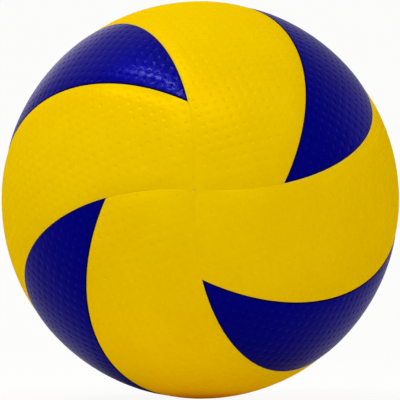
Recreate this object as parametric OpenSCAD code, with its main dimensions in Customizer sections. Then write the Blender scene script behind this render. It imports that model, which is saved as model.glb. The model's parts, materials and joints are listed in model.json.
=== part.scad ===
// Laminated match volleyball in millimetres, with its origin at the ball's centre.
// Eight equal panels, four yellow and four blue, swirl from one pole of the ball to the other.
// They butt along arcs of circles, with a groove along every seam. Under them lie the foam
// backings, a lining cloth, a rubber carcass, a layer of wound thread and the bladder.
// The pole where the yellow panels meet faces -Y, and the pole of the blue ones faces +Y.

/* [Ball] */
// Diameter over the panels
ball_d = 210; // [180:1:240]

/* [Layers from the outside in] */
// Thickness of a panel's microfibre skin
skin_t = 1; // [0.7:0.05:1.6]
// Thickness of a panel's foam backing
foam_t = 2; // [1:0.1:4]
// Thickness of the lining cloth
cloth_t = 0.3; // [0.2:0.05:0.8]
// Thickness of the rubber carcass
carcass_t = 0.5; // [0.3:0.05:1.2]
// Thickness of the wound thread
winding_t = 0.3; // [0.2:0.05:0.8]
// Thickness of the bladder's wall
bladder_t = 0.5; // [0.3:0.05:1.2]

/* [Panel seams] */
// Angular radius of a long seam's arc, which runs from a pole to the equator
long_arc_angle = 56.4; // [55:0.1:60]
// Angular radius of a short seam's arc, which leaves a long seam at the tip of a panel
short_arc_angle = 68.4; // [66:0.1:71]
// Angle from the pole to the middle of a short seam's arc
short_tilt_angle = 48.2; // [46:0.1:51]
// Turn of the whole swirl about the line through the poles
swirl_angle = 86.3; // [0:0.1:90]
// Width of the bevel that a panel has along its seams
bevel_w = 1.2; // [0.4:0.1:2.5]
// Depth of that bevel at the seam
bevel_depth = 0.5; // [0.2:0.05:0.6]

/* [Valve place] */
// Angle from the yellow pole to the valve
valve_tilt_angle = 125; // [105:1:140]
// Angle to the valve about the line through the poles, from where a long seam crosses the equator
valve_turn_angle = 48; // [42:1:54]

/* [Valve housing] */
// Diameter of the neck that shows in the panel
neck_d = 7; // [6.4:0.1:8]
// How far the neck's end lies under the panel's surface
neck_recess = 0.3; // [0.1:0.05:0.8]
// Gap between the neck and the layers it passes through
neck_clearance = 0.2; // [0.1:0.05:0.4]
// Width and depth of the bevel round the neck's end
neck_bevel = 0.4; // [0.2:0.05:0.6]
// Diameter of the flange that is bonded inside the bladder
flange_d = 24; // [18:0.5:30]
// Thickness of that flange
flange_t = 1; // [0.6:0.1:2]
// Diameter of the barrel that reaches into the ball
barrel_d = 9; // [8.4:0.1:12]
// Thickness of the barrel's end wall
barrel_floor_t = 1.2; // [0.8:0.1:2]
// Diameter of the air outlet in that wall
outlet_d = 2.4; // [1.5:0.1:3.4]

/* [Valve core] */
// Diameter of the soft core in the neck
core_d = 4.2; // [3.6:0.1:4.8]
// Diameter of the core's bulb, which keeps it in the barrel
bulb_d = 5.8; // [5.2:0.1:6.4]
// Length of the bulb
bulb_len = 4; // [3:0.1:6]
// How far the core's end lies under the neck's end
core_recess = 0.4; // [0.1:0.05:0.8]
// Diameter of the funnel that leads the needle in
funnel_d = 3.2; // [2.4:0.1:3.5]
// Depth of that funnel
funnel_depth = 1.2; // [0.6:0.1:2]
// Diameter of the needle channel, relaxed
channel_d = 1.8; // [1.4:0.05:2.2]
// Length of the needle channel below the funnel
channel_len = 9; // [7:0.5:12]
// Length of the closed end that seals behind the needle
seal_len = 3; // [2:0.25:5]

/* [Bladder patches] */
// Thickness of the glue between a patch and the bladder
patch_glue_t = 0.3; // [0.1:0.05:0.4]
// Diameter of the patch that carries the valve
valve_patch_d = 40; // [32:1:50]
// Thickness of that patch
valve_patch_t = 0.5; // [0.3:0.05:1]
// Diameter of the patch that balances the valve, opposite it
balance_patch_d = 34; // [24:1:44]
// Thickness of that patch
balance_patch_t = 1.6; // [0.8:0.1:3]

/* [Hidden] */
$fn = 144;
// How far a cutting solid reaches past what it cuts
overrun = 1;
// Straight steps that a seam is drawn in, from a pole to a tip and from a tip to the equator
root_steps = 6;
side_steps = 20;
// Height of the lid over a panel's space, as a share of its rim's
lid_share = 1.5;
// How far a bevel's slope is carried on above the ball
rim_rise = 0.1;
// Most of the skin's thickness that the bevel may take
bevel_limit_share = 0.8;

panels_per_colour = 4;
half_turn_angle = 180;
right_angle = 90;
panel_pitch = 360 / panels_per_colour;
panel_width = panel_pitch / 2;

// Radii of the faces between the layers
ball_r = ball_d / 2;
foam_r = ball_r - skin_t;
cloth_r = foam_r - foam_t;
carcass_r = cloth_r - cloth_t;
winding_r = carcass_r - carcass_t;
bladder_r = winding_r - winding_t;
air_r = bladder_r - bladder_t;

// The bevel's depth, kept inside the skin, and its width where the slope ends above the ball
bevel_cut = min(bevel_depth, skin_t * bevel_limit_share);
rim_lean = bevel_w * (1 + rim_rise / bevel_cut);

// The long arc passes through the pole, which gives where it crosses the equator
long_crossing_angle = swirl_angle - acos(1 / tan(long_arc_angle));
// Every panel is equally wide at the equator, which sets the azimuth of the short arc's middle
short_turn_angle = long_crossing_angle + panel_width + acos(cos(short_arc_angle) / sin(short_tilt_angle));

// Heights of the valve's faces above the ball's centre, from the outside in
neck_top = ball_r - neck_recess;
core_top = neck_top - core_recess;
channel_top = core_top - funnel_depth;
channel_foot = channel_top - channel_len;
core_foot = channel_foot - seal_len;
barrel_foot = core_foot - barrel_floor_t;
patch_r = air_r - patch_glue_t;
flange_r = patch_r - valve_patch_t;

skin_yellow = [0.93, 0.79, 0.02];
skin_blue = [0.03, 0.03, 0.48];
foam_cream = [0.93, 0.90, 0.82];
cloth_white = [0.96, 0.96, 0.94];
carcass_grey = [0.32, 0.32, 0.34];
thread_white = [0.86, 0.87, 0.88];
butyl_black = [0.09, 0.09, 0.10];
valve_black = [0.05, 0.05, 0.06];
core_amber = [0.72, 0.55, 0.32];

// Directions from the ball's centre are unit vectors, with the yellow pole up

function direction(colatitude, azimuth) =
    [sin(colatitude) * cos(azimuth), sin(colatitude) * sin(azimuth), cos(colatitude)];

function unit(v) = v / norm(v);

// A direction turned about an axis
function turned(v, axis, angle) =
    v * cos(angle) + cross(axis, v) * sin(angle) + axis * (axis * v) * (1 - cos(angle));

// Angle about an axis from one direction to another
function angle_about(axis, from, to) =
    let (a = cross(axis, from), b = cross(axis, to)) atan2(cross(a, b) * axis, a * b);

// Half a turn about the point of the equator at an azimuth, which swaps the two ends of a seam
function half_turned(v, azimuth) =
    let (hinge = direction(right_angle, azimuth)) 2 * (v * hinge) * hinge - v;

// Where two circles on the ball cross, each given by the direction of its middle and its radius
function crossing(middle, radius, other_middle, other_radius) = let (
    closeness = middle * other_middle,
    rest = 1 - closeness * closeness,
    a = (cos(radius) - closeness * cos(other_radius)) / rest,
    b = (cos(other_radius) - closeness * cos(radius)) / rest,
    base = a * middle + b * other_middle
) base + cross(middle, other_middle) * sqrt((1 - base * base) / rest);

// Points along an arc about its middle, up to the last one but not with it
function arc_points(middle, from, to, steps) =
    let (sweep = angle_about(middle, from, to))
    [for (i = [0 : steps - 1]) turned(from, middle, sweep * i / steps)];

// The rest of a seam past the equator: its near half, half turned about where it crosses
function past_equator(near_points, end, azimuth) = concat(
    [end],
    [for (i = [len(near_points) - 1 : -1 : 1]) half_turned(near_points[i], azimuth)]
);

function next_panel(points) = [for (p = points) turned(p, pole, panel_pitch)];

pole = direction(0, 0);
long_middle = direction(long_arc_angle, swirl_angle);
short_middle = direction(short_tilt_angle, short_turn_angle);
tip = crossing(long_middle, long_arc_angle, short_middle, short_arc_angle);
long_end = direction(right_angle, long_crossing_angle);
short_end = direction(right_angle, long_crossing_angle + panel_width);

// The seams' near halves: the long one from the pole to the tip and on to the equator, and the
// short one from the tip to the equator
long_root = arc_points(long_middle, pole, tip, root_steps);
long_side = arc_points(long_middle, tip, long_end, side_steps);
short_side = arc_points(short_middle, tip, short_end, side_steps);

// The two sides of a panel, each from the corner at its pole to the point past the equator
left_side = concat(
    long_root,
    short_side,
    past_equator(short_side, short_end, long_crossing_angle + panel_width)
);
right_side = concat(
    next_panel(concat(long_root, long_side)),
    past_equator(
        next_panel(long_side),
        turned(long_end, pole, panel_pitch),
        long_crossing_angle + panel_pitch
    )
);
side_count = len(left_side);
outline = concat(
    left_side,
    [half_turned(tip, long_crossing_angle + panel_width)],
    [for (i = [side_count - 1 : -1 : 1]) right_side[i]]
);
outline_count = len(outline);

// Number of a step of the outline, which closes on itself
function wrapped(i) = (i + outline_count) % outline_count;

// Direction into the panel from the wall that follows each point of the outline
wall_inward = [for (i = [0 : outline_count - 1]) unit(cross(outline[i], outline[wrapped(i + 1)]))];
// Direction into the panel from each point, long enough to keep level with both its walls
corner_inward = [for (i = [0 : outline_count - 1])
    let (before = wall_inward[wrapped(i - 1)], after = wall_inward[i])
    (before + after) / (1 + before * after)];

// Faces from the ball's centre to a ring of points
function wall_faces(ring) =
    [for (i = [0 : outline_count - 1]) [0, ring + i, ring + wrapped(i + 1)]];

// Faces between a ring of points and a higher ring
function band_faces(lower, upper) = [for (i = [0 : outline_count - 1]) each
    let (j = wrapped(i + 1)) [[lower + j, lower + i, upper + i], [lower + j, upper + i, upper + j]]];

// Faces that close a ring, in strips from the panel's left side to its right side
function lid_faces(ring) = [for (i = [0 : side_count - 1]) each let (
    left = ring + i,
    right = ring + wrapped(-i),
    right_next = ring + wrapped(-i - 1)
) concat(
    i == 0 ? [] : [[left + 1, left, right]],
    i == side_count - 1 ? [] : [[left + 1, right, right_next]]
)];

// Solid that holds everything under one panel, from the ball's centre out. Its walls are radial,
// so neighbouring panels share them.
module panel_space() {
    polyhedron(
        concat([[0, 0, 0]], [for (p = outline) ball_r * lid_share * p]),
        concat(wall_faces(1), lid_faces(1))
    );
}

// The same space with its walls leaning in above the bottom of the seam's groove
module bevelled_panel_space() {
    rim = [for (i = [0 : outline_count - 1])
        (ball_r + rim_rise) * outline[i] + rim_lean * corner_inward[i]];
    top = 1 + outline_count;
    lid = top + outline_count;
    polyhedron(
        concat(
            [[0, 0, 0]],
            [for (p = outline) (ball_r - bevel_cut) * p],
            rim,
            [for (p = rim) lid_share * p]
        ),
        concat(wall_faces(1), band_faces(1, top), band_faces(top, lid), lid_faces(lid))
    );
}

module shell(outer_r, inner_r) {
    difference() {
        sphere(r = outer_r);
        sphere(r = inner_r);
    }
}

// The numbered panel's share of the skin layer
module panel_skin(number) {
    rotate([0, 0, (number - 1) * panel_pitch]) intersection() {
        shell(ball_r, foam_r);
        bevelled_panel_space();
    }
}

// The numbered panel's share of the foam layer
module panel_foam(number) {
    rotate([0, 0, (number - 1) * panel_pitch]) intersection() {
        shell(foam_r, cloth_r);
        panel_space();
    }
}

// Lays the ball over, so that the yellow pole faces -Y
module laid_over() {
    rotate([right_angle, 0, 0]) children();
}

// A blue panel is a yellow one, half turned about the point where a long seam crosses the equator
module other_end() {
    rotate([0, 0, long_crossing_angle]) rotate([half_turn_angle, 0, 0]) rotate([0, 0, -long_crossing_angle])
        children();
}

// Places what is drawn along +Z on the valve's axis, with its outer end outwards
module at_valve() {
    rotate([0, valve_tilt_angle, long_crossing_angle + valve_turn_angle]) children();
}

// Hole for the valve's neck, through every layer outside the flange
module neck_hole() {
    at_valve() translate([0, 0, flange_r - flange_t])
        cylinder(d = neck_d + 2 * neck_clearance, h = ball_r + overrun - flange_r + flange_t);
}

module yellow_panel(number) {
    color(skin_yellow) laid_over() panel_skin(number);
}

module blue_panel(number) {
    color(skin_blue) laid_over() difference() {
        other_end() panel_skin(number);
        neck_hole();
    }
}

module yellow_backing(number) {
    color(foam_cream) laid_over() panel_foam(number);
}

module blue_backing(number) {
    color(foam_cream) laid_over() difference() {
        other_end() panel_foam(number);
        neck_hole();
    }
}

// A layer that goes all round the ball, with the hole for the valve's neck
module whole_layer(outer_r, inner_r) {
    laid_over() difference() {
        shell(outer_r, inner_r);
        neck_hole();
    }
}

module lining_cloth() {
    color(cloth_white) whole_layer(cloth_r, carcass_r);
}

module rubber_carcass() {
    color(carcass_grey) whole_layer(carcass_r, winding_r);
}

module thread_winding() {
    color(thread_white) whole_layer(winding_r, bladder_r);
}

module bladder() {
    color(butyl_black) whole_layer(bladder_r, air_r);
}

// Round piece of a thin layer, centred on +Z
module disc_of_layer(outer_r, inner_r, diameter) {
    intersection() {
        shell(outer_r, inner_r);
        cylinder(d = diameter, h = ball_r);
    }
}

// Outline of the soft core, which the housing's cavity repeats
module core_body(top) {
    translate([0, 0, core_foot]) cylinder(d = core_d, h = top - core_foot);
    translate([0, 0, core_foot]) cylinder(d = bulb_d, h = bulb_len);
}

module valve_housing() {
    neck_side = neck_top - neck_bevel;
    color(valve_black) laid_over() at_valve() difference() {
        union() {
            disc_of_layer(flange_r, flange_r - flange_t, flange_d);
            translate([0, 0, barrel_foot]) cylinder(d = barrel_d, h = flange_r - flange_t - barrel_foot);
            translate([0, 0, barrel_foot]) cylinder(d = neck_d, h = neck_side - barrel_foot);
            translate([0, 0, neck_side])
                cylinder(d1 = neck_d, d2 = neck_d - 2 * neck_bevel, h = neck_bevel);
        }
        core_body(neck_top + overrun);
        translate([0, 0, barrel_foot - overrun])
            cylinder(d = outlet_d, h = barrel_floor_t + 2 * overrun);
    }
}

module valve_core() {
    color(core_amber) laid_over() at_valve() difference() {
        core_body(core_top);
        translate([0, 0, channel_foot]) cylinder(d = channel_d, h = core_top + overrun - channel_foot);
        translate([0, 0, channel_top]) cylinder(d1 = channel_d, d2 = funnel_d, h = funnel_depth);
    }
}

module valve_patch() {
    color(butyl_black) laid_over() difference() {
        at_valve() disc_of_layer(patch_r, flange_r, valve_patch_d);
        neck_hole();
    }
}

// Rubber disc inside the bladder, opposite the valve
module balance_patch() {
    color(butyl_black) laid_over() at_valve() rotate([half_turn_angle, 0, 0])
        disc_of_layer(patch_r, patch_r - balance_patch_t, balance_patch_d);
}

yellow_panel(1);  // yellow_panel_1
yellow_panel(2);  // yellow_panel_2
yellow_panel(3);  // yellow_panel_3
yellow_panel(4);  // yellow_panel_4
blue_panel(1);  // blue_panel_1
blue_panel(2);  // blue_panel_2
blue_panel(3);  // blue_panel_3
blue_panel(4);  // blue_panel_4
yellow_backing(1);  // yellow_backing_1
yellow_backing(2);  // yellow_backing_2
yellow_backing(3);  // yellow_backing_3
yellow_backing(4);  // yellow_backing_4
blue_backing(1);  // blue_backing_1
blue_backing(2);  // blue_backing_2
blue_backing(3);  // blue_backing_3
blue_backing(4);  // blue_backing_4
lining_cloth();
rubber_carcass();
thread_winding();
bladder();
valve_housing();
valve_core();
valve_patch();
balance_patch();
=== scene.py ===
# Laminated volleyball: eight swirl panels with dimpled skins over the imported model's own layers.
import math

import bpy
import numpy as np
from mathutils import Matrix, Vector
from mathutils.geometry import delaunay_2d_cdt
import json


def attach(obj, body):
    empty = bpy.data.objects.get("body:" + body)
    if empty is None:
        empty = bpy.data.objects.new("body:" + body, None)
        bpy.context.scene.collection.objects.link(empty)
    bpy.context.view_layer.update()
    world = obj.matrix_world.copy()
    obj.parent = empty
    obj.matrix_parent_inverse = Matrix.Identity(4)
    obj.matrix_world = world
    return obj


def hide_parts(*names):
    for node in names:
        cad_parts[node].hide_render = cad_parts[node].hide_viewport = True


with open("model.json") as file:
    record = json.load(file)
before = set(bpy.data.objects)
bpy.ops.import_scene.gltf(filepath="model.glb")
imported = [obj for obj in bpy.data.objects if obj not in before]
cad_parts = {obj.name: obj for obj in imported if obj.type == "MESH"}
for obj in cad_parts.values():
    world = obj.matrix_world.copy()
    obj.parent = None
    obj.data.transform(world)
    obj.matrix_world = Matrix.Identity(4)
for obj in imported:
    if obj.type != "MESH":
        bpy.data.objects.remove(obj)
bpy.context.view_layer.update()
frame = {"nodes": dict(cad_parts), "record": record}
nodes = frame["nodes"]
mm = 0.001
batch = 4000        # points compared at a time, to save memory

# The seams are worked out on a unit sphere with the yellow pole up. Millimetres and degrees.
ball = {
    "radius": 105.0,
    "skinFoot": 104.03,       # just above the foam backings
    "longArc": 56.4,          # angular radius of the seams that run from pole to pole
    "shortArc": 68.4,         # and of those that leave them at a panel's tip
    "shortTilt": 48.2,
    "swirl": 86.3,
    "panelsPerColour": 4,
    "seamStep": 1.25,         # spacing of the points along a seam
}


def unit(points):
    return points / np.linalg.norm(points, axis=-1, keepdims=True)


def direction(tilt, turn):
    tilt, turn = math.radians(tilt), math.radians(turn)
    level = math.sin(tilt)
    return np.array([level * math.cos(turn), level * math.sin(turn), math.cos(tilt)])


def turned(v, axis, angle):
    angle = math.radians(angle)
    return (v * math.cos(angle) + np.cross(axis, v) * math.sin(angle)
            + axis * (axis @ v) * (1 - math.cos(angle)))


def halfTurned(v, turn):
    hinge = direction(90, turn)
    return 2 * (v @ hinge) * hinge - v


def arcPoints(middle, start, end):
    # points along an arc about its middle, up to the last one but not with it
    a, b = np.cross(middle, start), np.cross(middle, end)
    sweep = math.degrees(math.atan2(np.cross(a, b) @ middle, a @ b))
    length = abs(math.radians(sweep)) * np.linalg.norm(a) * ball["radius"]
    steps = round(length / ball["seamStep"])
    return [turned(start, middle, sweep * i / steps) for i in range(steps)]


def pastEquator(near, end, turn):
    return [end] + [halfTurned(p, turn) for p in near[:0:-1]]


def panelSides():
    # the two sides of the first yellow panel, each from its corner at the yellow pole
    pitch = 360 / ball["panelsPerColour"]
    longArc, shortArc = math.radians(ball["longArc"]), math.radians(ball["shortArc"])
    crossing = ball["swirl"] - math.degrees(math.acos(1 / math.tan(longArc)))
    shortTurn = crossing + pitch / 2 + math.degrees(math.acos(
        math.cos(shortArc) / math.sin(math.radians(ball["shortTilt"]))))
    pole = direction(0, 0)
    longMiddle = direction(ball["longArc"], ball["swirl"])
    shortMiddle = direction(ball["shortTilt"], shortTurn)

    # the panel's tip, where the two seams' circles cross
    cosLong, cosShort = math.cos(longArc), math.cos(shortArc)
    close = longMiddle @ shortMiddle
    rest = 1 - close * close
    base = ((cosLong - close * cosShort) * longMiddle
            + (cosShort - close * cosLong) * shortMiddle) / rest
    tip = base + np.cross(longMiddle, shortMiddle) * math.sqrt((1 - base @ base) / rest)
    longEnd, shortEnd = direction(90, crossing), direction(90, crossing + pitch / 2)

    root = arcPoints(longMiddle, pole, tip)
    longSide = arcPoints(longMiddle, tip, longEnd)
    shortSide = arcPoints(shortMiddle, tip, shortEnd)

    def following(points):
        return [turned(p, pole, pitch) for p in points]

    left = root + shortSide + pastEquator(shortSide, shortEnd, crossing + pitch / 2)
    right = following(root + longSide) + pastEquator(
        following(longSide), turned(longEnd, pole, pitch), crossing + pitch)
    farCorner = halfTurned(tip, crossing + pitch / 2)
    return np.array(left), np.array(right), farCorner, len(root), crossing


leftSide, rightSide, farCorner, rootCount, crossing = panelSides()
outline = np.vstack([leftSide, farCorner[None], rightSide[:0:-1]])


def gapTo(points, line, closed=False):
    # distance from each point to a line of chords on the unit sphere, in millimetres
    start = line if closed else line[:-1]
    end = np.roll(line, -1, axis=0) if closed else line[1:]
    along = end - start
    best = np.full(len(points), 1e9)
    for first in range(0, len(points), batch):
        p = points[first:first + batch, None, :]
        t = np.clip(((p - start) * along).sum(2) / (along * along).sum(1), 0, 1)
        best[first:first + batch] = np.linalg.norm(p - start - t[:, :, None] * along, axis=2).min(1)
    return best * ball["radius"]


def inwardAt(line):
    # direction into the panel from each point of its closed outline, level with both walls
    wall = np.cross(line, np.roll(line, -1, axis=0))
    wall /= np.linalg.norm(wall, axis=1)[:, None]
    before = np.roll(wall, 1, axis=0)
    return (before + wall) / (1 + (before * wall).sum(1))[:, None]


def panelSpine():
    # the great circle that keeps the panel's sides closest: its normal, found by small steps
    normal = unit(np.linalg.svd(outline - outline.mean(0))[2][2])
    step, finest = 0.2, 1e-4
    while step > finest:
        for axis in np.vstack([np.eye(3), -np.eye(3)]):
            trial = unit(normal + step * axis)
            if np.abs(outline @ trial).max() < np.abs(outline @ normal).max():
                normal = trial
                break
        else:
            step /= 2
    middle = outline.mean(0)
    middle = unit(middle - (middle @ normal) * normal)
    return middle, np.cross(normal, middle), normal


# The sheet is a flat map along that circle, on which the dimples stand in a square grid.
spine = np.array(panelSpine())


def toSheet(points):
    x, y, z = (points @ spine.T).T
    return np.column_stack([np.arctan2(y, x), np.arcsin(np.clip(z, -1, 1))]) * ball["radius"]


def fromSheet(flat):
    turn, rise = (flat / ball["radius"]).T
    level = np.cos(rise)
    return np.column_stack([level * np.cos(turn), level * np.sin(turn), np.sin(rise)]) @ spine


def smooth(low, high, x):
    t = np.clip((x - low) / (high - low), 0, 1)
    return t * t * (3 - 2 * t)


def within(edge):
    # a test for points inside a closed edge: even-odd count of its crossings on the sheet
    a = toSheet(edge)
    b = np.roll(a, -1, axis=0)

    def test(points):
        p = toSheet(points)
        hits = np.zeros(len(p), int)
        for first in range(0, len(p), batch):
            q = p[first:first + batch, None, :]
            spans = (a[:, 1] > q[:, :, 1]) != (b[:, 1] > q[:, :, 1])
            with np.errstate(divide="ignore", invalid="ignore"):
                at = a[:, 0] + (q[:, :, 1] - a[:, 1]) * (b[:, 0] - a[:, 0]) / (b[:, 1] - a[:, 1])
            hits[first:first + batch] = (spans & (q[:, :, 0] < at)).sum(1)
        return hits % 2 == 1

    return test


# The dimples' grid, in millimetres
dimples = {
    "pitch": 5.05,
    "rowTurn": 0.0,           # degrees from the panel's length
    "radius": 1.2,
    "depth": 0.25,
    "crease": 0.06,           # valleys across the panel, from dimple to dimple
    "creasePatch": (0.25, 0.12), "creaseFade": (0.35, 0.7),     # they come in patches
    "wrinkle": 0.05,          # uneven surface of the soft foam
    "wrinkleCells": (2.6, 0.9),
    "seamFade": (0.5, 1.9),   # all of it fades in over these distances from a seam
    "holeFade": (0.5, 1.6),   # and from the valve's hole
    "skinLeft": 0.15,         # least skin under a dimple
    # points of the mesh: rings round a dimple as (share of its radius, count), and some between
    "rings": ((0.38, 6), (0.72, 10), (1.04, 12)),
    "between": (
        (0.5, 0.5), (0.5, 0.0), (0.0, 0.5), (0.5, 0.25), (0.5, -0.25), (0.25, 0.5), (-0.25, 0.5),
        (0.32, 0.32), (0.32, -0.32), (-0.32, 0.32), (-0.32, -0.32)),
}


def dimplePoints(inside, reach):
    # a point at each dimple's bottom, rings round it, and a few between the dimples
    radius, pitch = ball["radius"], dimples["pitch"]
    turn = math.radians(dimples["rowTurn"])
    rows = np.array([[math.cos(turn), math.sin(turn)], [-math.sin(turn), math.cos(turn)]]) * pitch
    most = int(np.abs(toSheet(outline)).max() / pitch * 1.5) + 2
    flat = np.array([(i, j) for i in range(-most, most) for j in range(-most, most)], float) @ rows
    flat = flat[(np.abs(flat[:, 0]) < math.pi * radius)
                & (np.abs(flat[:, 1]) < math.pi / 2 * radius)]
    centres = fromSheet(flat)
    near = inside(centres) | (gapTo(centres, outline, True) < pitch)
    flat, centres = flat[near], centres[near]
    side = unit(np.cross(centres, spine[2]))
    other = np.cross(centres, side)
    points = [centres]
    for share, count in dimples["rings"]:
        stagger = 0.5 * (count % 4 == 2)
        for i in range(count):
            angle = 2 * math.pi * (i + stagger) / count
            points.append(unit(centres + (math.cos(angle) * side + math.sin(angle) * other)
                               * share * dimples["radius"] / radius))
    for offset in dimples["between"]:
        points.append(fromSheet(flat + np.array(offset) @ rows))
    points = np.vstack(points)
    points = points[inside(points)]
    return points[gapTo(points, outline, True) > reach]


# How a panel's edge and face are formed, in millimetres
panel = {
    "seamGap": 0.006,         # half the slit between two panels
    "cornerCut": 0.14,        # how much a panel's corner at a pole is blunted
    "rollRings": (0.17, 0.33, 0.55, 0.85, 1.25),
    "ringShare": 0.96,        # a ring's points keep this share of its distance from every seam
    "ringClearance": 0.3,     # between the last ring and the dimples' points
    "rollWidth": 1.0,         # tight roll of the edge into the seam
    "rollDrop": 0.44,
    "rollPower": 2.4,
    "rootRollShare": 0.05,    # share of the roll's depth that is left where one colour meets itself
    "rootRollSpan": (0.2, 2.5),
    "crownWidth": 11.0,       # the soft crown that the foam gives a panel
    "crownDrop": 0.42,
    "crownMost": 1.05,        # of both sides' crowns together, as a share of one
    "rootCrownWidth": 8.0,    # the same where one colour meets itself
    "rootCrownDrop": 0.74,
    "rootCrownSpan": (0, 12),
    "skinLeft": 0.02,         # least skin at the bottom of a seam
    "undersideStep": 7.0,
    "undersideShare": 0.4,    # its points keep this share of a step from the edges
    "undersideRise": 0.03,
    "sharpFrom": 50,          # degrees between two faces that don't shade smoothly
}

# Hole for the valve's neck, in millimetres and degrees
valveHole = {
    "panelNumber": 4,         # of the blue panels
    "tilt": 125.0,            # from the yellow pole
    "turn": 48.0,             # past a long seam's crossing of the equator
    "radius": 3.7,
    "rollWidth": 0.7,
    "rollDrop": 0.35,
    "rings": (0.1, 0.22, 0.4, 0.65),
    "clearance": 0.95,        # between the hole and the dimples' points
    "points": 48,
}


def rolled(gap, width):
    return np.clip(1 - gap / width, 0, 1) ** panel["rollPower"]


def faceHeights(top, holeAt):
    # drop below the ball's sphere: the soft crown of the foam, then the tight roll into the seam
    radius = ball["radius"]
    gap = gapTo(top, outline, True)
    sides = (leftSide, rightSide)
    sideGaps = [gapTo(top, np.vstack([side, farCorner])) for side in sides]
    colourGap = np.minimum(*[
        gapTo(top, np.vstack([side[rootCount:], farCorner])) for side in sides])
    atRoot = smooth(*panel["rootRollSpan"], colourGap - gap)
    towardsRoot = smooth(*panel["rootCrownSpan"], colourGap - gap)
    crownWidth = panel["crownWidth"] + (panel["rootCrownWidth"] - panel["crownWidth"]) * towardsRoot
    crownDrop = panel["crownDrop"] + (panel["rootCrownDrop"] - panel["crownDrop"]) * towardsRoot
    crown = sum(np.clip(1 - side / crownWidth, 0, 1) ** 2 for side in sideGaps)
    rollDrop = panel["rollDrop"] * (1 - (1 - panel["rootRollShare"]) * atRoot)
    drop = crownDrop * np.minimum(crown, panel["crownMost"])
    drop += rollDrop * rolled(gap, panel["rollWidth"])
    dimpled = smooth(*dimples["seamFade"], gap)
    if holeAt is not None:
        rim = np.linalg.norm(top - holeAt, axis=1) * radius - valveHole["radius"]
        drop += valveHole["rollDrop"] * rolled(rim, valveHole["rollWidth"])
        dimpled *= smooth(*dimples["holeFade"], rim)
    thickness = radius - ball["skinFoot"]
    relief = dimples["depth"] + dimples["crease"] + dimples["wrinkle"]
    # the foam never shows through
    dimpled *= np.clip((thickness - dimples["skinLeft"] - drop) / relief, 0, 1)
    return np.minimum(drop, thickness - panel["skinLeft"]), dimpled, gap, colourGap


def filled(points, loops):
    # triangles between closed loops of edges, worked out on the sheet
    flat = [Vector(p) for p in toSheet(points)]
    out = delaunay_2d_cdt(flat, [e for loop in loops for e in loop], [], len(loops), 1e-6)
    origin = [where[0] if where else -1 for where in out[3]]
    return np.array([tuple(v) for v in out[0]]), [tuple(f) for f in out[2]], origin


def skinMesh(name, holeAt=None):
    # one panel's skin as a closed mesh, still without its dimples
    radius, foot = ball["radius"], ball["skinFoot"]
    inward = inwardAt(outline)
    edge = unit(outline + inward * panel["seamGap"] / radius)
    edge[0] = unit(outline[0] + unit(inward[0]) * panel["cornerCut"] / radius)
    inside = within(edge)
    rings, loose = [edge], []
    for reach in panel["rollRings"]:
        ring = unit(outline + inward * reach / radius)
        loose.append(ring[gapTo(ring, outline, True) > panel["ringShare"] * reach])
    field = dimplePoints(inside, panel["rollRings"][-1] + panel["ringClearance"])
    if holeAt is not None:
        side = unit(np.cross(holeAt, spine[2]))
        other = np.cross(holeAt, side)
        # the other way round from the edge, so that the hole's wall faces the hole
        angles = -2 * math.pi * np.arange(valveHole["points"]) / valveHole["points"]
        around = np.cos(angles)[:, None] * side + np.sin(angles)[:, None] * other
        away = valveHole["radius"] / radius
        rings.append(unit(holeAt + around * math.tan(away)))
        for more in valveHole["rings"]:
            loose.append(unit(holeAt + around * math.tan(away + more / radius)))
        clear = valveHole["radius"] + valveHole["clearance"]
        field = field[np.linalg.norm(field - holeAt, axis=1) * radius > clear]

    loops, first = [], 0
    for ring in rings:
        count = len(ring)
        loops.append([(first + i, first + (i + 1) % count) for i in range(count)])
        first += count
    flat, faces, origin = filled(np.vstack(rings + loose + [field]), loops)
    holeEdge = set(range(len(edge), first))
    faces = [f for f in faces if not all(origin[i] in holeEdge for i in f)]
    top = fromSheet(flat)
    drop, dimpled, gap, colourGap = faceHeights(top, holeAt)
    verts = [top * (radius - drop)[:, None]]

    # the wall down to the foam, and the underside
    index = {o: i for i, o in enumerate(origin) if o >= 0}
    footIndex, footStart = {}, len(top)
    for loop in loops:
        for i, _ in loop:
            footIndex[i] = footStart + i
        for i, j in loop:
            faces.append((index[j], index[i], footIndex[i], footIndex[j]))
    footPoints = unit(verts[0][[index[i] for i in range(first)]])
    verts.append(footPoints * foot)
    span = np.abs(toSheet(outline)).max(0)
    step = panel["undersideStep"]
    margin = panel["undersideShare"] * step
    low = fromSheet(np.array([(x, y) for x in np.arange(-span[0], span[0], step)
                              for y in np.arange(-span[1], span[1], step)]))
    low = low[inside(low)]
    low = low[gapTo(low, outline, True) > margin]
    if holeAt is not None:
        low = low[np.linalg.norm(low - holeAt, axis=1) * radius > valveHole["radius"] + margin]
    verts.append(low * (foot + panel["undersideRise"]))
    _, underFaces, underOrigin = filled(np.vstack([footPoints, low]), loops)
    for f in underFaces:
        ends = [underOrigin[i] for i in f]
        if not all(i in holeEdge for i in ends):
            faces.append(tuple(footStart + i for i in reversed(ends)))

    verts = np.vstack(verts)
    mesh = bpy.data.meshes.new(name)
    mesh.from_pydata((verts * mm).tolist(), [], faces)
    labels = {"sheet": np.column_stack([flat, np.zeros(len(flat))]), "dimpled": dimpled,
              "seamGap": gap, "colourGap": colourGap}
    for label, values in labels.items():
        wide = values.ndim == 2
        data = np.zeros((len(verts), 3) if wide else len(verts), np.float32)
        data[:len(values)] = values
        item = mesh.attributes.new(label, "FLOAT_VECTOR" if wide else "FLOAT", "POINT")
        item.data.foreach_set("vector" if wide else "value", data.ravel())
    mesh.validate()
    return mesh


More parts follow.
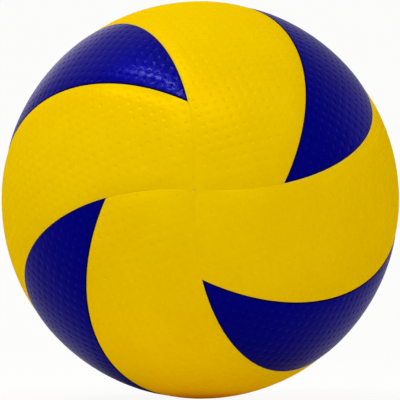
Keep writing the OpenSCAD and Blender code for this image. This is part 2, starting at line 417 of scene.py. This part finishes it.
class Wire:
    # a socket of a node tree; sums on it add the Math nodes
    def __init__(self, tree, socket=None):
        self.tree, self.socket = tree, socket

    def make(self, kind, settings=None, inputs=None, out=0):
        node = self.tree.nodes.new(kind)
        for key, value in (settings or {}).items():
            setattr(node, key, value)
        for key, value in (inputs or {}).items():
            if isinstance(value, Wire):
                self.tree.links.new(value.socket, node.inputs[key])
            else:
                node.inputs[key].default_value = value
        return Wire(self.tree, node.outputs[out])

    def maths(self, operation, *values):
        return self.make("ShaderNodeMath", {"operation": operation}, dict(enumerate(values)))

    def vector(self, operation, *values, out=0):
        inputs = dict(enumerate(values))
        return self.make("ShaderNodeVectorMath", {"operation": operation}, inputs, out)

    def combined(self, *values):
        return self.make("ShaderNodeCombineXYZ", {}, dict(enumerate(values)))

    def __add__(self, other):
        return self.maths("ADD", self, other)

    def __radd__(self, other):
        return self.maths("ADD", other, self)

    def __sub__(self, other):
        return self.maths("SUBTRACT", self, other)

    def __rsub__(self, other):
        return self.maths("SUBTRACT", other, self)

    def __mul__(self, other):
        return self.maths("MULTIPLY", self, other)

    def __rmul__(self, other):
        return self.maths("MULTIPLY", other, self)

    def __truediv__(self, other):
        return self.maths("DIVIDE", self, other)

    def clamped(self):
        return self.maths("MINIMUM", self.maths("MAXIMUM", self, 0.0), 1.0)

    def between(self, low, high):
        # 0 below low, 1 above high, smooth in between
        t = ((self - low) / (high - low)).clamped()
        return t * t * (3 - 2 * t)

    def noise(self, scale, detail=2.0):
        # noise at this place
        inputs = {"Vector": self, "Scale": scale, "Detail": detail}
        return self.make("ShaderNodeTexNoise", {}, inputs)


def dimpleTree():
    # sinks the dimples, creases and wrinkles into a skin where its sheet's grid has its points
    tree = bpy.data.node_groups.new("dimpledSkin", "GeometryNodeTree")

    def socket(label, kind, way="INPUT"):
        return tree.interface.new_socket(name=label, in_out=way, socket_type=kind).identifier

    socket("Geometry", "NodeSocketGeometry")
    sockets = {label: socket(label, "NodeSocketFloat") for label in (
        "Ball radius", "Grid pitch", "Row turn", "Dimple radius", "Dimple depth",
        "Crease depth", "Wrinkle depth")}
    sockets["Skin"] = socket("Skin", "NodeSocketMaterial")
    socket("Geometry", "NodeSocketGeometry", "OUTPUT")
    entry, leave = tree.nodes.new("NodeGroupInput"), tree.nodes.new("NodeGroupOutput")
    w = Wire(tree)

    def given(label):
        return Wire(tree, entry.outputs[label])

    radius, pitch = given("Ball radius"), given("Grid pitch")
    sheet, dimpled = [
        w.make("GeometryNodeInputNamedAttribute", {"data_type": kind}, {"Name": label})
        for label, kind in (("sheet", "FLOAT_VECTOR"), ("dimpled", "FLOAT"))]
    x = w.make("ShaderNodeSeparateXYZ", {}, {0: sheet}, 0)
    y = Wire(tree, x.socket.node.outputs[1])
    c, s = w.maths("COSINE", given("Row turn")), w.maths("SINE", given("Row turn"))
    u, v = (x * c + y * s) / pitch, (y * c - x * s) / pitch
    column, row = w.maths("ROUND", u), w.maths("ROUND", v)
    centreX, centreY = (column * c - row * s) * pitch, (column * s + row * c) * pitch

    def onBall(a, b):
        turn, rise = a / radius, b / radius
        level = w.maths("COSINE", rise)
        return w.combined(
            level * w.maths("COSINE", turn), level * w.maths("SINE", turn), w.maths("SINE", rise))

    away = w.vector("DISTANCE", onBall(x, y), onBall(centreX, centreY), out=1) * radius
    t = (away / given("Dimple radius")).clamped()
    bowl = (1 - t * t) * (1 - t * t) * dimpled
    # every panel gets the same creases, which run across it and fade in and out
    along, across = dimples["creasePatch"]
    patches = w.combined(u * along, v * across).noise(1.0)
    wave = w.maths("COSINE", u * (2 * math.pi)) * 0.5 + 0.5
    valley = wave * patches.between(*dimples["creaseFade"])
    along, across = dimples["wrinkleCells"]
    ripple = w.combined(u * along, v * across).noise(1.0, 3.0)
    relief = valley * given("Crease depth") + ripple * given("Wrinkle depth")
    sink = (bowl * given("Dimple depth") + relief * dimpled) * -mm
    outward = w.vector("NORMALIZE", w.make("GeometryNodeInputPosition"))
    offset = w.make("ShaderNodeVectorMath", {"operation": "SCALE"}, {0: outward, "Scale": sink})
    moved = w.make("GeometryNodeSetPosition", {}, {"Geometry": given("Geometry"), "Offset": offset})
    kept = w.make("GeometryNodeStoreNamedAttribute", {"data_type": "FLOAT", "domain": "POINT"},
                  {"Geometry": moved, "Name": "pit", "Value": bowl})
    solid = w.make("GeometryNodeRealizeInstances", {}, {"Geometry": kept})
    dressed = w.make("GeometryNodeSetMaterial", {}, {"Geometry": solid, "Material": given("Skin")})
    tree.links.new(dressed.socket, leave.inputs[0])
    return tree, sockets


def newMaterial(name, constants):
    material = bpy.data.materials.new(name)
    material.use_nodes = True
    shader = material.node_tree.nodes["Principled BSDF"]
    for key, value in constants.items():
        shader.inputs[key].default_value = value
    w = Wire(material.node_tree)
    return material, w, shader, w.make("ShaderNodeTexCoord", out=3)


def feed(w, shader, values):
    for key, value in values.items():
        w.tree.links.new(value.socket, shader.inputs[key])


def mixed(w, share, first, second):
    return w.make("ShaderNodeMix", {"data_type": "RGBA"}, {"Factor": share, 6: first, 7: second}, 2)


# Coated microfibre: the finish of the panels' faces. Distances from a seam are in millimetres.
# each tone's seam colour is painted shade in the seams' grooves
skinTones = {
    # each tone's darker colour goes in random patches, and is painted shade in the dimples
    "yellow_skin": {
        "colour": (0.87, 0.575, 0.0, 1), "darkToneAndPitShade": (0.83, 0.525, 0.0, 1),
        "edge": (0.95, 0.82, 0.38, 1), "edgeShare": 0.5, "edgeSpan": (0.2, 0.58),
        "seam": (0.10, 0.04, 0.0, 1), "seamSpan": (0.05, 0.3), "rootSeamShade": 0.32,
        "specular": 0.0, "edgeGloss": (1.0, 0.7, 0.0, 1), "metallic": 0.055, "roughness": 0.32,
        "coat": 0.0, "puff": 0.9,
    },
    "blue_skin": {
        "colour": (0.0, 0.0, 0.188, 1), "darkToneAndPitShade": (0.0, 0.0, 0.16, 1),
        "edge": (0.0, 0.0, 0.14, 1), "edgeShare": 0.5, "edgeSpan": (0.6, 1.2),
        "seam": (0.003, 0.0, 0.010, 1), "seamSpan": (0.25, 0.75), "rootSeamShade": 0.6,
        "specular": 0.002, "edgeGloss": (0.76, 0.70, 0.66, 1), "metallic": 0.36, "roughness": 0.32,
        "coat": 0.025, "pitCoat": 0.03, "polish": 0.095, "puff": 0.0,
    },
}
skinSurface = {
    "cloudScale": 28, "cloudDetail": 3.0, "cloudSpan": (0.35, 0.7),
    "cloudShare": 0.5, "pitShadeShare": 0.12,       # of the darker colour: in random patches, and as painted shade in the dimples
    "cloudRoughness": 0.08, "seamRoughness": 0.3,
    "middleSpan": (0.003, 0.016),              # metres from the ball's upright middle plane
    "brokenOffset": (0.411, 0.211, 0.692), "brokenScale": 60, "brokenSpan": (0.50, 0.64),
    "slitSpan": (0.03, 0.12),
    "grainScale": 2600, "grainShare": 0.7, "fineScale": 1300, "fineShare": 0.6,
    "streakStretch": (1.0, 0.22, 1.0), "streakShare": 1.6,
    "grainDepth": 0.008,                       # millimetres
    "puffWidth": 9.0,                          # millimetres over which an edge looks fuller
    "coatRoughness": 0.15,
    "blotchScale": 700, "blotchSpan": (0.3, 0.7), "blotchGain": 1.3, "blotchLeast": 0.1,
    "polished": (-0.0146, -0.0877, 0.0558),    # a spot that is rubbed smooth, in metres
    "polishSpan": (0.008, 0.028),
}


def skinMaterial(name, tone):
    surface = skinSurface
    material, w, shader, place = newMaterial(name, {
        "Specular IOR Level": tone["specular"], "Specular Tint": tone["edgeGloss"],
        "Metallic": tone["metallic"], "Coat Roughness": surface["coatRoughness"]})

    def stored(label, out=2):
        return w.make("ShaderNodeAttribute", {"attribute_name": label}, out=out)

    gap, colourGap, pit = stored("seamGap"), stored("colourGap"), stored("pit")
    cloud = place.noise(surface["cloudScale"], surface["cloudDetail"])
    # a darker colour in random patches, and painted shade in the dimples
    darkToneAndPitShade = cloud.between(*surface["cloudSpan"]) * surface["cloudShare"] + pit * surface["pitShadeShare"]
    colour = mixed(w, darkToneAndPitShade.clamped(), tone["colour"], tone["darkToneAndPitShade"])
    # a band beside a seam of two colours: paler on the yellow, darker on the blue
    seamBand = (1 - colourGap.between(*tone["edgeSpan"])) * tone["edgeShare"]
    colour = mixed(w, seamBand, colour, tone["edge"])
    # painted shade in the seams' grooves: all along a seam of two colours, and here and there along
    # a seam of one colour, least where it runs up and down
    sideways = w.make("ShaderNodeSeparateXYZ", {}, {0: place}, 0)
    beside = w.maths("ABSOLUTE", sideways).between(*surface["middleSpan"])
    broken = w.vector("ADD", place, surface["brokenOffset"]).noise(surface["brokenScale"])
    broken = broken.between(*surface["brokenSpan"]) * beside
    paintedSeamShade = ((1 - gap.between(*surface["slitSpan"])) * broken * tone["rootSeamShade"]
             + (1 - colourGap.between(*tone["seamSpan"]))).clamped()
    colour = mixed(w, paintedSeamShade, colour, tone["seam"])

    grain = w.make("ShaderNodeTexVoronoi", {}, {"Vector": place, "Scale": surface["grainScale"]})
    fine = place.noise(surface["fineScale"], 3.0)
    streaks = w.vector("MULTIPLY", stored("sheet", 1), surface["streakStretch"]).noise(1.0, 3.0)
    height = (grain * surface["grainShare"] + fine * surface["fineShare"]
              + streaks * surface["streakShare"]) * surface["grainDepth"]
    if tone["puff"]:
        edge = (1 - gap / surface["puffWidth"]).clamped()
        height = height - edge * edge * beside * tone["puff"]
    bump = w.make("ShaderNodeBump", {}, {"Strength": 1.0, "Distance": mm, "Height": height})
    roughness = (tone["roughness"] + (cloud - 0.5) * surface["cloudRoughness"]
                 + paintedSeamShade * surface["seamRoughness"])
    values = {"Base Color": colour, "Roughness": roughness, "Normal": bump}
    if tone["coat"]:
        blotch = place.noise(surface["blotchScale"]).between(*surface["blotchSpan"])
        away = w.vector("DISTANCE", place, surface["polished"], out=1)
        rubbed = 1 - away.between(*surface["polishSpan"])
        coat = ((blotch * surface["blotchGain"] + surface["blotchLeast"])
                * (rubbed * tone["polish"] + tone["coat"]))
        values["Coat Weight"] = coat + pit * tone["pitCoat"]
    feed(w, shader, values)
    return material


# Foam and rubber under the skins
plainTones = {
    "foam": {
        "colour": (0.83, 0.78, 0.66, 1), "dark": (0.66, 0.60, 0.47, 1), "roughness": 0.9,
        "scale": 1500, "depth": 0.00015, "specular": 0.2,
    },
    "carcass_rubber": {
        "colour": (0.09, 0.09, 0.10, 1), "dark": (0.06, 0.06, 0.065, 1), "roughness": 0.7,
        "scale": 700, "depth": 0.00005, "specular": 0.4,
    },
    "butyl": {
        "colour": (0.022, 0.022, 0.024, 1), "dark": (0.014, 0.014, 0.015, 1), "roughness": 0.42,
        "scale": 350, "depth": 0.00004, "specular": 0.5,
    },
    "valve_rubber": {
        "colour": (0.017, 0.017, 0.019, 1), "dark": (0.010, 0.010, 0.011, 1), "roughness": 0.5,
        "scale": 1800, "depth": 0.00003, "specular": 0.5,
    },
    "core_rubber": {
        "colour": (0.46, 0.27, 0.10, 1), "dark": (0.34, 0.19, 0.06, 1), "roughness": 0.45,
        "scale": 1400, "depth": 0.00003, "specular": 0.5,
    },
}
plainSurface = {
    "cloudCoarser": 12, "cloudDetail": 4.0, "cloudSpan": (0.3, 0.7), "cloudRoughness": 0.2,
    "bump": 0.6, "cloudHeight": 0.5,
}


def plainMaterial(name, tone):
    surface = plainSurface
    material, w, shader, place = newMaterial(name, {"Specular IOR Level": tone["specular"]})
    cells = w.make("ShaderNodeTexVoronoi", {}, {"Vector": place, "Scale": tone["scale"]})
    cloud = place.noise(tone["scale"] / surface["cloudCoarser"], surface["cloudDetail"])
    colour = mixed(w, cloud.between(*surface["cloudSpan"]), tone["colour"], tone["dark"])
    bump = w.make("ShaderNodeBump", {}, {"Strength": surface["bump"], "Distance": tone["depth"],
                                         "Height": cells + cloud * surface["cloudHeight"]})
    roughness = tone["roughness"] + (cloud - 0.5) * surface["cloudRoughness"]
    feed(w, shader, {"Base Color": colour, "Roughness": roughness, "Normal": bump})
    return material


# Lining cloth and thread winding: yarns run round the ball in three directions, over each other
wovenTones = {
    "cloth": {
        "colour": (0.90, 0.90, 0.87, 1), "dark": (0.68, 0.68, 0.64, 1),
        "yarns": 7000, "roughness": 0.85,
    },
    "thread": {
        "colour": (0.72, 0.74, 0.76, 1), "dark": (0.46, 0.48, 0.50, 1),
        "yarns": 5200, "roughness": 0.5,
    },
}
wovenSurface = {
    "specular": 0.3, "across": ((1.0, 0.2, 0.1), (0.1, 1.0, -0.3), (-0.4, 0.1, 1.0)),
    "cloudScale": 60, "cloudDetail": 3.0, "cloudShare": 0.3, "cloudRoughness": 0.1,
    "yarnShare": 0.8, "bump": 0.7, "depth": 0.0001,
}


def wovenMaterial(name, tone):
    surface = wovenSurface
    material, w, shader, place = newMaterial(name, {"Specular IOR Level": surface["specular"]})
    yarns = None
    for axis in surface["across"]:
        along = w.vector("DOT_PRODUCT", place, axis, out=1)
        wave = w.maths("ABSOLUTE", w.maths("SINE", along * tone["yarns"]))
        yarns = wave if yarns is None else w.maths("MAXIMUM", yarns, wave)
    cloud = place.noise(surface["cloudScale"], surface["cloudDetail"])
    light = (yarns * surface["yarnShare"] + cloud * surface["cloudShare"]).clamped()
    colour = mixed(w, light, tone["dark"], tone["colour"])
    bump = w.make("ShaderNodeBump", {}, {
        "Strength": surface["bump"], "Distance": surface["depth"], "Height": yarns})
    roughness = tone["roughness"] + (cloud - 0.5) * surface["cloudRoughness"]
    feed(w, shader, {"Base Color": colour, "Roughness": roughness, "Normal": bump})
    return material


finishes = {}
for makeMaterial, tones in (
    (skinMaterial, skinTones), (plainMaterial, plainTones), (wovenMaterial, wovenTones),
):
    for slotName, tone in tones.items():
        finishes[slotName] = makeMaterial(slotName, tone)
for part in frame["record"]["subparts"]:
    cad = nodes[part["node"]]
    cad.data.materials.clear()
    cad.data.materials.append(finishes[part["material_slot"]])
print("finishes made:", len(finishes))


def about(axis, degrees):
    return Matrix.Rotation(math.radians(degrees), 4, axis)


laidOver = about("X", 90)                                  # the yellow pole faces -Y
otherEnd = about("Z", crossing) @ about("X", 180) @ about("Z", -crossing)
pitchAngle = 360 / ball["panelsPerColour"]
valvePlace = Vector(direction(valveHole["tilt"], crossing + valveHole["turn"]))
valvePanel = otherEnd @ about("Z", (valveHole["panelNumber"] - 1) * pitchAngle)
tree, sockets = dimpleTree()


def dimpledCopy(base, material):
    worker = bpy.data.objects.new("worker", base)
    bpy.context.scene.collection.objects.link(worker)
    modifier = worker.modifiers.new("dimples", "NODES")
    modifier.node_group = tree
    for label, value in (
        ("Ball radius", ball["radius"]), ("Grid pitch", dimples["pitch"]),
        ("Row turn", math.radians(dimples["rowTurn"])), ("Dimple radius", dimples["radius"]),
        ("Dimple depth", dimples["depth"]), ("Crease depth", dimples["crease"]),
        ("Wrinkle depth", dimples["wrinkle"]), ("Skin", material),
    ):
        modifier[sockets[label]] = value
    bpy.context.view_layer.update()
    graph = bpy.context.evaluated_depsgraph_get()
    result = bpy.data.meshes.new_from_object(worker.evaluated_get(graph), depsgraph=graph)
    worker.modifiers.remove(modifier)
    bpy.data.objects.remove(worker)
    return result


plainBase = skinMesh("skinBase")
print("skin base:", len(plainBase.vertices), "points", len(plainBase.polygons), "faces")
holedBase = skinMesh("valveSkinBase", np.array(valvePanel.inverted() @ valvePlace))
print("valve skin base:", len(holedBase.vertices), "points")

for colour in ("yellow", "blue"):
    material = finishes[colour + "_skin"]
    for number in range(1, ball["panelsPerColour"] + 1):
        holed = colour == "blue" and number == valveHole["panelNumber"]
        mesh = dimpledCopy(holedBase if holed else plainBase, material)
        place = about("Z", (number - 1) * pitchAngle)
        if colour == "blue":
            place = otherEnd @ place
        mesh.transform(laidOver @ place)
        mesh.shade_smooth()
        mesh.set_sharp_from_angle(angle=math.radians(panel["sharpFrom"]))
        mesh.name = f"{colour}Skin{number}"
        skin = bpy.data.objects.new(f"{colour}_skin_{number}", mesh)
        bpy.context.scene.collection.objects.link(skin)
        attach(skin, "root")
        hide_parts(f"{colour}_panel_{number}")
    print(colour, "skins made")


# Floor, curved corner and wall in one sheet, in metres, with a painted warm glow on the floor under
# the ball that lights the ball's underside
studio = {
    "floorZ": -0.105, "reach": 6.0, "sweepStart": 1.6, "sweepRadius": 1.0, "sweepSteps": 12,
    "wallTop": 5.0, "floorColour": (0.94, 0.90, 0.86, 1), "whiteShare": 0.92,
    "shadowSpan": (0.03, 0.12),     # metres from the middle over which gloss sees the white come in
    "tableMiddle": (1.0, 0.50, 0.05, 1), "glowRim": (1.0, 0.88, 0.55, 1), "glowShare": 0.41,
    "glowColourSpan": (0.015, 0.045),
    "glowIn": (0.018, 0.04), "glowLeast": 0.35, "glowOut": (0.08, 0.22),
    "airWhite": 0.98,         # as the floor comes out, so that no horizon shows
    "fill": 0.565, "fillColour": (1.0, 0.965, 0.98, 1),
}


def studioSweep():
    profile = [(-studio["reach"], 0.0), (studio["sweepStart"], 0.0)]
    for i in range(1, studio["sweepSteps"] + 1):
        a = math.radians(90 * i / studio["sweepSteps"])
        profile.append((studio["sweepStart"] + studio["sweepRadius"] * math.sin(a),
                        studio["sweepRadius"] * (1 - math.cos(a))))
    profile.append((studio["sweepStart"] + studio["sweepRadius"], studio["wallTop"]))
    verts, faces = [], []
    for y, z in profile:
        verts += [(x, y, z + studio["floorZ"]) for x in (-studio["reach"], studio["reach"])]
    for i in range(len(profile) - 1):
        faces.append((2 * i, 2 * i + 1, 2 * i + 3, 2 * i + 2))
    mesh = bpy.data.meshes.new("studioSweep")
    mesh.from_pydata(verts, [], faces)
    mesh.shade_smooth()
    sweep = bpy.data.objects.new("studioSweep", mesh)
    bpy.context.scene.collection.objects.link(sweep)
    return sweep


def backgroundRays(w, share=1.0):
    # 1 for the camera's rays, which show the background, and a share of those off gloss and
    # through glass
    camera = w.make("ShaderNodeLightPath")
    outputs = camera.socket.node.outputs
    others = Wire(w.tree, outputs["Is Glossy Ray"]) + Wire(w.tree, outputs["Is Transmission Ray"])
    return (camera + others * share).clamped()


def studioMaterial():
    material = bpy.data.materials.new("studioWhite")
    material.use_nodes = True
    tree = material.node_tree
    tree.nodes.clear()
    w = Wire(tree)
    seen = backgroundRays(w)
    place = w.make("ShaderNodeTexCoord", out=3)
    out = w.vector("LENGTH", w.vector("MULTIPLY", place, (1.0, 1.0, 0.0)), out=1)
    least = studio["glowLeast"]
    # painted light: the floor round the ball glows warm for the light falling on the ball, but not
    # for the camera's rays or gloss
    glow = ((out.between(*studio["glowIn"]) * (1 - least) + least)
            * (1 - out.between(*studio["glowOut"])) * studio["glowShare"])
    warm = mixed(w, out.between(*studio["glowColourSpan"]), studio["tableMiddle"], studio["glowRim"])
    paint = w.make("ShaderNodeBsdfDiffuse", {}, {"Color": studio["floorColour"]})
    table = w.make("ShaderNodeEmission", {}, {"Color": warm, "Strength": 1.0})
    white = w.make("ShaderNodeEmission", {}, {"Color": (1, 1, 1, 1), "Strength": 1.0})
    floor = w.make("ShaderNodeMixShader", {}, {0: glow * (1 - seen), 1: paint, 2: table})
    # gloss shows the ball's own shadow where it stands
    share = backgroundRays(w, out.between(*studio["shadowSpan"])) * studio["whiteShare"]
    mix = w.make("ShaderNodeMixShader", {}, {0: share, 1: floor, 2: white})
    end = tree.nodes.new("ShaderNodeOutputMaterial")
    tree.links.new(mix.socket, end.inputs["Surface"])
    return material


studioSweep().data.materials.append(studioMaterial())

# Area lamps, all turned to the ball. The first one's long side gives the streak on the top blue
# panel.
lamps = {
    "topLamp": {"place": (-0.53, -0.41, 1.32), "along": (0.667, -0.745, 0.0), "size": (1.0, 0.08),
                "watts": 6.0, "colour": (0.96, 1.0, 1.0)},
    "frontLamp": {"place": (0.22, -1.38, 1.68), "along": (1.0, 0.0, 0.0), "size": (0.9, 0.7),
                  "watts": 9.1, "colour": (0.91, 1.0, 0.95)},
    "leftLamp": {"place": (-0.85, 0.56, 1.48), "along": (1.0, 0.0, 0.0), "size": (1.1, 1.1),
                 "watts": 2.8, "colour": (1.0, 1.0, 1.0)},
    "leftBackLamp": {"place": (-0.66, 1.89, 0.92), "along": (1.0, 0.0, 0.0), "size": (0.9, 0.9),
                     "watts": 3.2, "colour": (1.0, 0.94, 1.0)},
    "rightLamp": {"place": (1.7, 0.9, 0.7), "along": (0.0, 1.0, 0.0), "size": (0.9, 0.9),
                  "watts": 1.2, "colour": (1.0, 1.0, 1.0)},
}
for name, lamp in lamps.items():
    light = bpy.data.lights.new(name, "AREA")
    light.shape, light.energy, light.color = "RECTANGLE", lamp["watts"], lamp["colour"]
    light.size, light.size_y = lamp["size"]
    back, along = Vector(lamp["place"]).normalized(), Vector(lamp["along"])
    along = (along - along.dot(back) * back).normalized()
    holder = bpy.data.objects.new(name, light)
    holder.location = lamp["place"]
    holder.rotation_euler = Matrix((along, back.cross(along), back)).transposed().to_euler()
    bpy.context.scene.collection.objects.link(holder)

world = bpy.data.worlds.new("studioAir")
bpy.context.scene.world = world
world.use_nodes = True
world.node_tree.nodes.clear()
w = Wire(world.node_tree)
fill = w.make("ShaderNodeBackground", {}, {
    "Color": studio["fillColour"], "Strength": studio["fill"]})
white = w.make("ShaderNodeBackground", {}, {"Color": (1, 1, 1, 1), "Strength": studio["airWhite"]})
air = w.make("ShaderNodeMixShader", {}, {0: backgroundRays(w), 1: fill, 2: white})
out = world.node_tree.nodes.new("ShaderNodeOutputWorld")
world.node_tree.links.new(air.socket, out.inputs["Surface"])
print("studio made")

# Camera at the photograph's place
view = {
    "azimuth": 1.55, "elevation": -2.8, "distance": 1.26,     # degrees and metres
    "lens": 214.0, "sensor": 36.0, "shiftX": -0.0007, "clip": (0.01, 100),
}
a, e = math.radians(view["azimuth"]), math.radians(view["elevation"])
spot = Vector((math.sin(a) * math.cos(e), -math.cos(a) * math.cos(e), math.sin(e)))
spot *= view["distance"]
camera = bpy.data.cameras.new("camera")
camera.sensor_width, camera.lens, camera.shift_x = view["sensor"], view["lens"], view["shiftX"]
camera.clip_start, camera.clip_end = view["clip"]
cameraHolder = bpy.data.objects.new("camera", camera)
cameraHolder.location = spot
cameraHolder.rotation_euler = (-spot).to_track_quat("-Z", "Y").to_euler()
bpy.context.scene.collection.objects.link(cameraHolder)
bpy.context.scene.camera = cameraHolder
bpy.context.scene.view_settings.view_transform = "Standard"

print("scene done")
